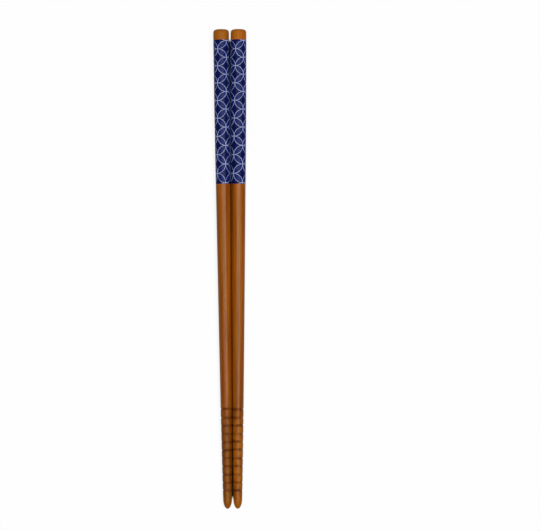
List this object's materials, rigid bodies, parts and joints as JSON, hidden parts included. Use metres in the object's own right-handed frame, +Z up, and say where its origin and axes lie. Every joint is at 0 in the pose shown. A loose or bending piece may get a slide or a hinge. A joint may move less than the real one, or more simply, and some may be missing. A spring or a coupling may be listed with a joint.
{
  "type": "pair of wooden chopsticks",
  "caption": "Round lacquered wooden chopsticks lying side by side, with a printed film round each handle, a long taper, a ringed grip and a blunt rounded tip, for picking up food.",
  "frame": {"origin": "on the table, under the middle of the pair's bounding box", "axes": "+Y along the pair towards the handle ends, +Z up from the table, +X across the pair; the YZ plane is the plane of symmetry between the sticks"},
  "size_m": [0.0156, 0.225, 0.0077],
  "materials": {
    "lacquered_wood": "satin clear lacquer over fine straight grain",
    "printed_film": "satin printed film"
  },
  "bodies": {
    "root": {"left_chopstick": "lacquered_wood", "right_chopstick": "lacquered_wood", "left_wrap": "printed_film", "right_wrap": "printed_film"}
  },
  "joints": []
}
